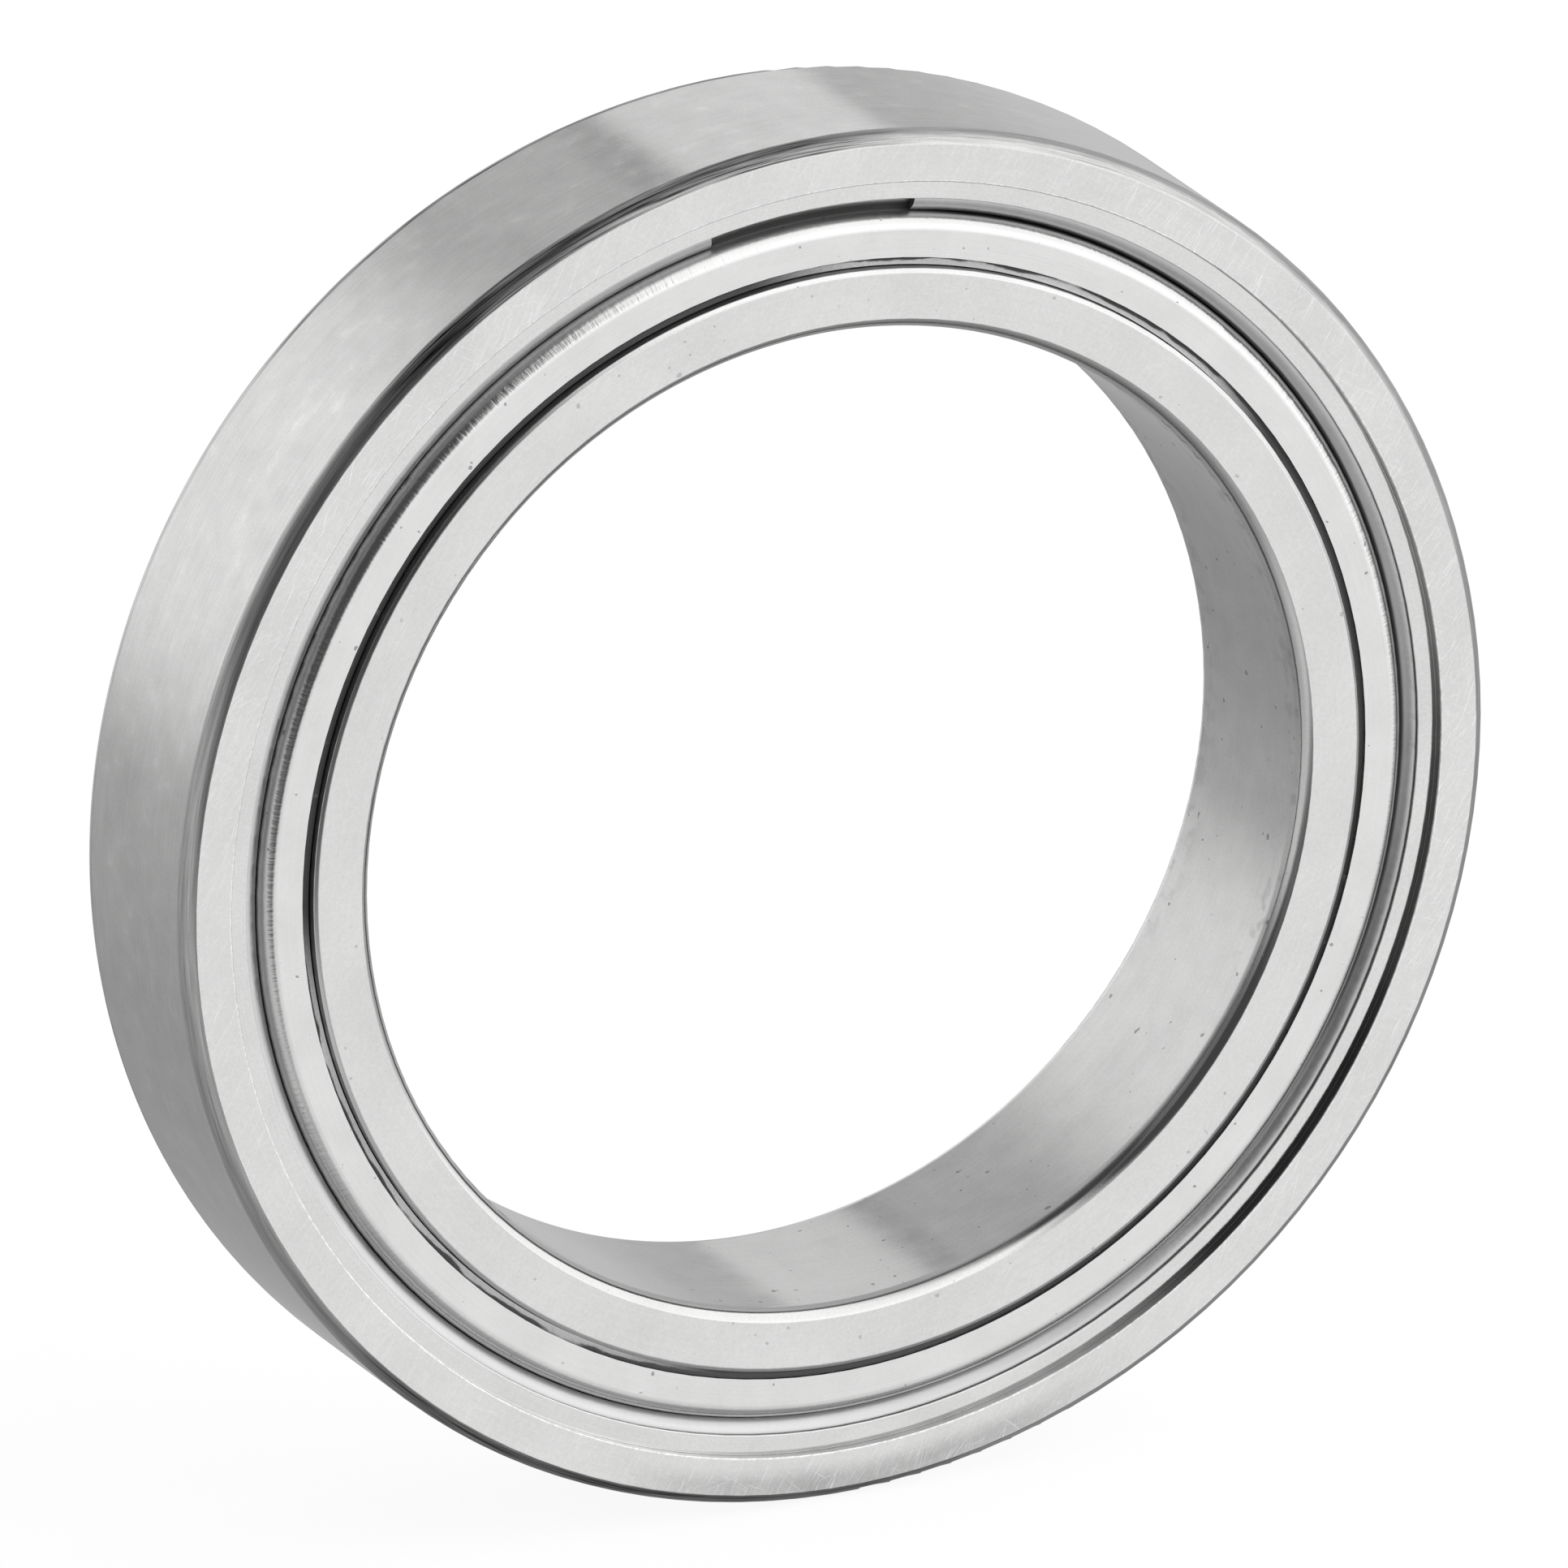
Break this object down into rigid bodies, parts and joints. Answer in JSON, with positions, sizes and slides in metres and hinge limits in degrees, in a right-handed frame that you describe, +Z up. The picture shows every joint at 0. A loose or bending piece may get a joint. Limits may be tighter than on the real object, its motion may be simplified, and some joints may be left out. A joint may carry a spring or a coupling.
{
  "type": "ball bearing",
  "caption": "Thin-section deep groove ball bearing: two rings, balls in a riveted ribbon cage, and a snap-ring-held shield on each side.",
  "frame": {"origin": "centre of the bore, at half the bearing's width", "axes": "Y runs along the bearing's axis with the front face towards -Y; +Z is up; X completes the right-handed frame"},
  "size_m": [0.042, 0.007, 0.042],
  "materials": {
    "ring_steel": "ground hardened bearing steel",
    "ball_steel": "polished",
    "cage_steel": "pressed strip",
    "shield_steel": "pressed satin sheet",
    "snap_steel": "spring wire"
  },
  "bodies": {
    "outer": {"outer_ring": "ring_steel", "front_shield": "shield_steel", "rear_shield": "shield_steel", "front_snap_ring": "snap_steel", "rear_snap_ring": "snap_steel"},
    "inner": {"inner_ring": "ring_steel"},
    "cage": {"cage_front_half": "cage_steel", "cage_rear_half": "cage_steel", "cage_rivets": "cage_steel"},
    "ball_01": {"ball_01": "ball_steel"},
    "ball_02": {"ball_02": "ball_steel"},
    "ball_03": {"ball_03": "ball_steel"},
    "ball_04": {"ball_04": "ball_steel"},
    "ball_05": {"ball_05": "ball_steel"},
    "ball_06": {"ball_06": "ball_steel"},
    "ball_07": {"ball_07": "ball_steel"},
    "ball_08": {"ball_08": "ball_steel"},
    "ball_09": {"ball_09": "ball_steel"},
    "ball_10": {"ball_10": "ball_steel"},
    "ball_11": {"ball_11": "ball_steel"},
    "ball_12": {"ball_12": "ball_steel"},
    "ball_13": {"ball_13": "ball_steel"},
    "ball_14": {"ball_14": "ball_steel"},
    "ball_15": {"ball_15": "ball_steel"},
    "ball_16": {"ball_16": "ball_steel"},
    "ball_17": {"ball_17": "ball_steel"},
    "ball_18": {"ball_18": "ball_steel"},
    "ball_19": {"ball_19": "ball_steel"},
    "ball_20": {"ball_20": "ball_steel"},
    "ball_21": {"ball_21": "ball_steel"},
    "ball_22": {"ball_22": "ball_steel"}
  },
  "joints": [
    {"name": "inner_spin", "type": "hinge", "parent": "outer", "child": "inner", "pos_m": [0, 0, 0], "axis": [0, 1, 0], "continuous": true},
    {"name": "cage_spin", "type": "hinge", "parent": "outer", "child": "cage", "pos_m": [0, 0, 0], "axis": [0, 1, 0], "continuous": true},
    {"name": "ball_01_spin", "type": "hinge", "parent": "cage", "child": "ball_01", "pos_m": [0.018, 0, 0], "axis": [0, 1, 0], "continuous": true},
    {"name": "ball_02_spin", "type": "hinge", "parent": "cage", "child": "ball_02", "pos_m": [0.01727, 0, 0.00507], "axis": [0, 1, 0], "continuous": true},
    {"name": "ball_03_spin", "type": "hinge", "parent": "cage", "child": "ball_03", "pos_m": [0.01514, 0, 0.00973], "axis": [0, 1, 0], "continuous": true},
    {"name": "ball_04_spin", "type": "hinge", "parent": "cage", "child": "ball_04", "pos_m": [0.01179, 0, 0.0136], "axis": [0, 1, 0], "continuous": true},
    {"name": "ball_05_spin", "type": "hinge", "parent": "cage", "child": "ball_05", "pos_m": [0.00748, 0, 0.01637], "axis": [0, 1, 0], "continuous": true},
    {"name": "ball_06_spin", "type": "hinge", "parent": "cage", "child": "ball_06", "pos_m": [0.00256, 0, 0.01782], "axis": [0, 1, 0], "continuous": true},
    {"name": "ball_07_spin", "type": "hinge", "parent": "cage", "child": "ball_07", "pos_m": [-0.00256, 0, 0.01782], "axis": [0, 1, 0], "continuous": true},
    {"name": "ball_08_spin", "type": "hinge", "parent": "cage", "child": "ball_08", "pos_m": [-0.00748, 0, 0.01637], "axis": [0, 1, 0], "continuous": true},
    {"name": "ball_09_spin", "type": "hinge", "parent": "cage", "child": "ball_09", "pos_m": [-0.01179, 0, 0.0136], "axis": [0, 1, 0], "continuous": true},
    {"name": "ball_10_spin", "type": "hinge", "parent": "cage", "child": "ball_10", "pos_m": [-0.01514, 0, 0.00973], "axis": [0, 1, 0], "continuous": true},
    {"name": "ball_11_spin", "type": "hinge", "parent": "cage", "child": "ball_11", "pos_m": [-0.01727, 0, 0.00507], "axis": [0, 1, 0], "continuous": true},
    {"name": "ball_12_spin", "type": "hinge", "parent": "cage", "child": "ball_12", "pos_m": [-0.018, 0, 0], "axis": [0, 1, 0], "continuous": true},
    {"name": "ball_13_spin", "type": "hinge", "parent": "cage", "child": "ball_13", "pos_m": [-0.01727, 0, -0.00507], "axis": [0, 1, 0], "continuous": true},
    {"name": "ball_14_spin", "type": "hinge", "parent": "cage", "child": "ball_14", "pos_m": [-0.01514, 0, -0.00973], "axis": [0, 1, 0], "continuous": true},
    {"name": "ball_15_spin", "type": "hinge", "parent": "cage", "child": "ball_15", "pos_m": [-0.01179, 0, -0.0136], "axis": [0, 1, 0], "continuous": true},
    {"name": "ball_16_spin", "type": "hinge", "parent": "cage", "child": "ball_16", "pos_m": [-0.00748, 0, -0.01637], "axis": [0, 1, 0], "continuous": true},
    {"name": "ball_17_spin", "type": "hinge", "parent": "cage", "child": "ball_17", "pos_m": [-0.00256, 0, -0.01782], "axis": [0, 1, 0], "continuous": true},
    {"name": "ball_18_spin", "type": "hinge", "parent": "cage", "child": "ball_18", "pos_m": [0.00256, 0, -0.01782], "axis": [0, 1, 0], "continuous": true},
    {"name": "ball_19_spin", "type": "hinge", "parent": "cage", "child": "ball_19", "pos_m": [0.00748, 0, -0.01637], "axis": [0, 1, 0], "continuous": true},
    {"name": "ball_20_spin", "type": "hinge", "parent": "cage", "child": "ball_20", "pos_m": [0.01179, 0, -0.0136], "axis": [0, 1, 0], "continuous": true},
    {"name": "ball_21_spin", "type": "hinge", "parent": "cage", "child": "ball_21", "pos_m": [0.01514, 0, -0.00973], "axis": [0, 1, 0], "continuous": true},
    {"name": "ball_22_spin", "type": "hinge", "parent": "cage", "child": "ball_22", "pos_m": [0.01727, 0, -0.00507], "axis": [0, 1, 0], "continuous": true}
  ],
  "couplings": [
    {"joint": "cage_spin", "follows": "inner_spin", "ratio": 0.4559},
    {"joint": "ball_01_spin", "follows": "inner_spin", "ratio": -5.6252},
    {"joint": "ball_02_spin", "follows": "inner_spin", "ratio": -5.6252},
    {"joint": "ball_03_spin", "follows": "inner_spin", "ratio": -5.6252},
    {"joint": "ball_04_spin", "follows": "inner_spin", "ratio": -5.6252},
    {"joint": "ball_05_spin", "follows": "inner_spin", "ratio": -5.6252},
    {"joint": "ball_06_spin", "follows": "inner_spin", "ratio": -5.6252},
    {"joint": "ball_07_spin", "follows": "inner_spin", "ratio": -5.6252},
    {"joint": "ball_08_spin", "follows": "inner_spin", "ratio": -5.6252},
    {"joint": "ball_09_spin", "follows": "inner_spin", "ratio": -5.6252},
    {"joint": "ball_10_spin", "follows": "inner_spin", "ratio": -5.6252},
    {"joint": "ball_11_spin", "follows": "inner_spin", "ratio": -5.6252},
    {"joint": "ball_12_spin", "follows": "inner_spin", "ratio": -5.6252},
    {"joint": "ball_13_spin", "follows": "inner_spin", "ratio": -5.6252},
    {"joint": "ball_14_spin", "follows": "inner_spin", "ratio": -5.6252},
    {"joint": "ball_15_spin", "follows": "inner_spin", "ratio": -5.6252},
    {"joint": "ball_16_spin", "follows": "inner_spin", "ratio": -5.6252},
    {"joint": "ball_17_spin", "follows": "inner_spin", "ratio": -5.6252},
    {"joint": "ball_18_spin", "follows": "inner_spin", "ratio": -5.6252},
    {"joint": "ball_19_spin", "follows": "inner_spin", "ratio": -5.6252},
    {"joint": "ball_20_spin", "follows": "inner_spin", "ratio": -5.6252},
    {"joint": "ball_21_spin", "follows": "inner_spin", "ratio": -5.6252},
    {"joint": "ball_22_spin", "follows": "inner_spin", "ratio": -5.6252}
  ]
}
